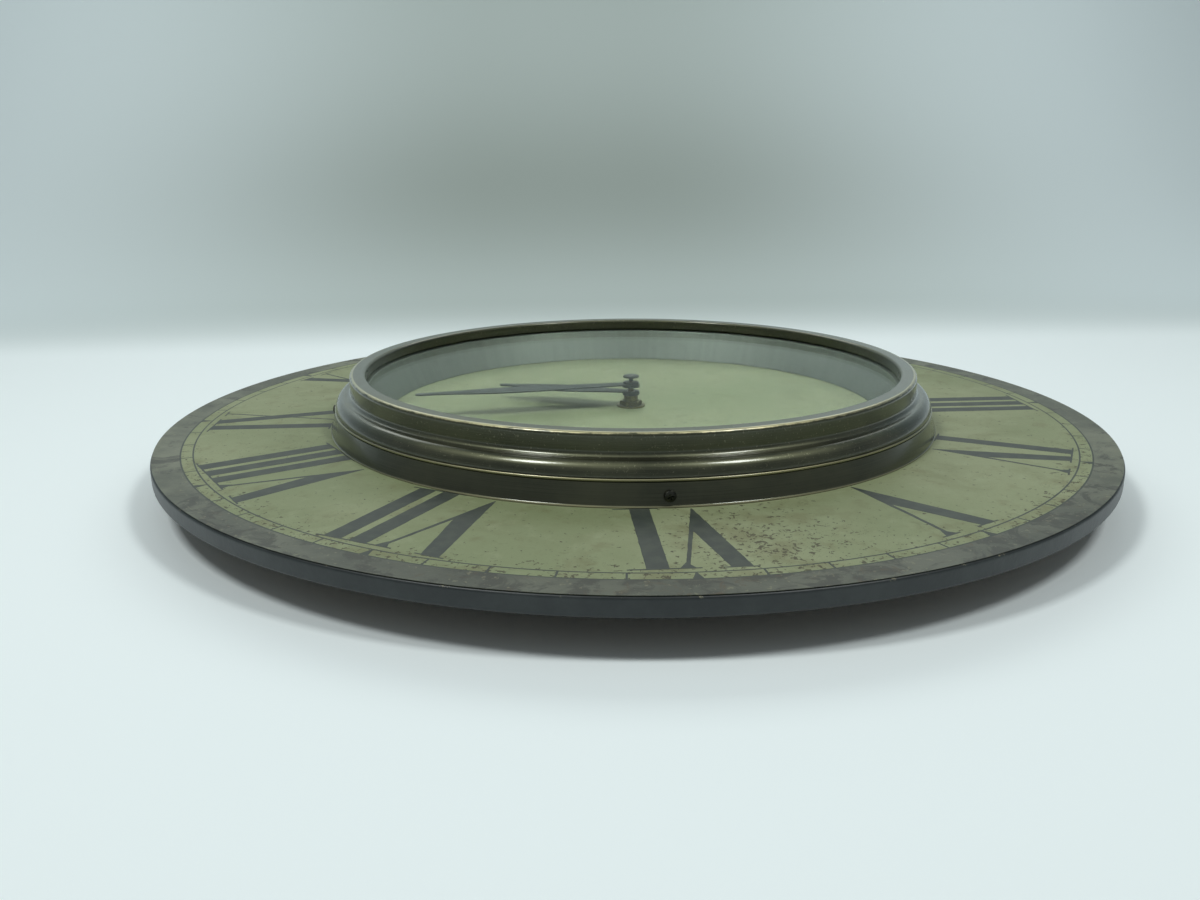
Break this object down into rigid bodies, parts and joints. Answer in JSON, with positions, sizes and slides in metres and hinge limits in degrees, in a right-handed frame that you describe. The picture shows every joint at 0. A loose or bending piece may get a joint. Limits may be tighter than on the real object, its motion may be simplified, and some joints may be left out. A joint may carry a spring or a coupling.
{
  "type": "wall clock",
  "caption": "Round gallery wall clock: printed Roman chapter ring round a raised brass bezel with glass, inner dial, two leaf hands and a quartz movement.",
  "frame": {"origin": "the middle of the plane that touches the wall, under the centre of the dial", "axes": "+Z out of the dial towards the viewer, +Y to 12 o'clock, +X to 3 o'clock; the clock lies face up, and hangs with +Y upwards"},
  "size_m": [0.508, 0.508, 0.0544],
  "materials": {
    "fibreboard": "dark-edged fibreboard",
    "parchment_print": "aged parchment print on paper, with a dark worn border",
    "antique_brass": "antique spun brass with a dark patina and worn bright edges",
    "wood": "plain softwood",
    "dark_steel": "blackened steel",
    "glass": "flat clear glass",
    "grey_metal": "satin grey metal",
    "brass": "turned brass",
    "hand_black": "satin black paint on thin metal",
    "white_plastic": "natural acetal",
    "magnet": "sintered magnet",
    "copper": "enamelled copper wire",
    "circuit": "green circuit board",
    "battery_can": "plain grey sleeve over a steel can",
    "black_plastic": "moulded black plastic with a fine grain",
    "rubber": "black rubber",
    "felt": "dark green felt"
  },
  "bodies": {
    "clock": {"dial_board": "fibreboard", "inner_dial_board": "fibreboard", "outer_dial_print": "parchment_print", "inner_dial_print": "parchment_print", "bezel_shell": "antique_brass", "bezel_mounting_ring": "wood", "hanger_block": "wood", "spacer_block_left": "wood", "spacer_block_right": "wood", "bezel_screw_3_oclock": "dark_steel", "bezel_screw_12_oclock": "dark_steel", "bezel_screw_9_oclock": "dark_steel", "bezel_screw_6_oclock": "dark_steel", "glass": "glass", "sight_ring": "grey_metal", "keyhole_plate": "grey_metal", "stator": "grey_metal", "coil_core": "grey_metal", "battery_contact_positive": "grey_metal", "battery_contact_negative": "grey_metal", "dial_washer": "brass", "dial_nut": "brass", "threaded_bushing": "brass", "plate_screw_left": "brass", "plate_screw_right": "brass", "coil_bobbin": "white_plastic", "coil_winding": "copper", "circuit_board": "circuit", "battery": "battery_can", "movement_front_case": "black_plastic", "movement_rear_case": "black_plastic", "rubber_washer": "rubber", "felt_pad_low_left": "felt", "felt_pad_low_right": "felt", "felt_pad_top_left": "felt", "felt_pad_top_right": "felt"},
    "minute_hand": {"minute_hand": "hand_black", "minute_nut": "hand_black", "minute_spindle": "brass"},
    "hour_hand": {"hour_hand": "hand_black", "hour_wheel": "white_plastic"},
    "setting_knob": {"setting_knob": "white_plastic", "motion_wheel": "white_plastic"},
    "seconds_wheel": {"seconds_wheel": "brass", "seconds_cap": "hand_black"},
    "intermediate_wheel": {"intermediate_wheel": "white_plastic"},
    "rotor": {"rotor": "magnet"},
    "third_wheel": {"third_wheel": "brass"},
    "centre_wheel": {"centre_wheel": "brass"}
  },
  "joints": [
    {"name": "minute_hand_turn", "type": "hinge", "parent": "clock", "child": "minute_hand", "pos_m": [0, 0, 0], "axis": [0, 0, -1], "continuous": true},
    {"name": "hour_hand_turn", "type": "hinge", "parent": "clock", "child": "hour_hand", "pos_m": [0, 0, 0], "axis": [0, 0, -1], "continuous": true},
    {"name": "setting_knob_turn", "type": "hinge", "parent": "clock", "child": "setting_knob", "pos_m": [0.00956, 0.00552, 0], "axis": [0, 0, -1], "continuous": true},
    {"name": "seconds_wheel_turn", "type": "hinge", "parent": "clock", "child": "seconds_wheel", "pos_m": [0, 0, 0], "axis": [0, 0, -1], "continuous": true},
    {"name": "intermediate_wheel_turn", "type": "hinge", "parent": "clock", "child": "intermediate_wheel", "pos_m": [-0.00947, -0.00345, 0], "axis": [0, 0, -1], "continuous": true},
    {"name": "rotor_turn", "type": "hinge", "parent": "clock", "child": "rotor", "pos_m": [-0.01537, -0.00758, 0], "axis": [0, 0, -1], "continuous": true},
    {"name": "third_wheel_turn", "type": "hinge", "parent": "clock", "child": "third_wheel", "pos_m": [-0.00721, 0.00721, 0], "axis": [0, 0, -1], "continuous": true},
    {"name": "centre_wheel_turn", "type": "hinge", "parent": "clock", "child": "centre_wheel", "pos_m": [0, 0, 0], "axis": [0, 0, -1], "continuous": true}
  ],
  "couplings": [
    {"joint": "hour_hand_turn", "follows": "minute_hand_turn", "ratio": 0.083333},
    {"joint": "setting_knob_turn", "follows": "minute_hand_turn", "ratio": -0.33333},
    {"joint": "intermediate_wheel_turn", "follows": "seconds_wheel_turn", "ratio": -6},
    {"joint": "rotor_turn", "follows": "seconds_wheel_turn", "ratio": 30},
    {"joint": "third_wheel_turn", "follows": "seconds_wheel_turn", "ratio": -0.13333},
    {"joint": "centre_wheel_turn", "follows": "seconds_wheel_turn", "ratio": 0.016667}
  ]
}
